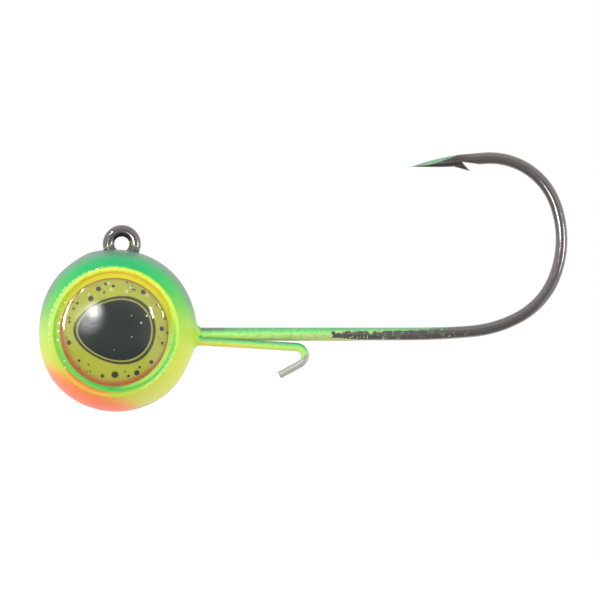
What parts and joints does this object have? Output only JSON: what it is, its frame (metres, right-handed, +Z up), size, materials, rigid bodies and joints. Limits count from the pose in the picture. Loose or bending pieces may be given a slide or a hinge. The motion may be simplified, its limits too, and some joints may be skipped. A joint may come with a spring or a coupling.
{
  "type": "jig head",
  "caption": "Ball-shaped lead jig head with a ring line tie, a long-shank barbed hook, a folded wire bait keeper and domed stick-on eyes.",
  "frame": {"origin": "centre of the line tie, the ring at the top of the ball", "axes": "+X back from the ball to the bend of the hook, +Y across to the right side, along the line tie's hole, +Z up, to the side of the hook's point"},
  "size_m": [0.0587, 0.0152, 0.0288],
  "materials": {
    "head_paint": "glossy airbrushed paint: chartreuse with a green back and an orange throat",
    "hook_wire": "black nickel plated steel wire, with paint overspray on the shank",
    "keeper_wire": "bare stainless wire, painted up to the middle of its fold",
    "eye_adhesive": "double-sided adhesive film",
    "eye_foil": "printed foil, olive iris with speckles and a dark pupil",
    "eye_dome": "clear epoxy lens"
  },
  "bodies": {
    "root": {"head_casting": "head_paint", "hook": "hook_wire", "bait_keeper": "keeper_wire", "eye_adhesive_left": "eye_adhesive", "eye_adhesive_right": "eye_adhesive", "eye_foil_left": "eye_foil", "eye_foil_right": "eye_foil", "eye_dome_left": "eye_dome", "eye_dome_right": "eye_dome"}
  },
  "joints": []
}
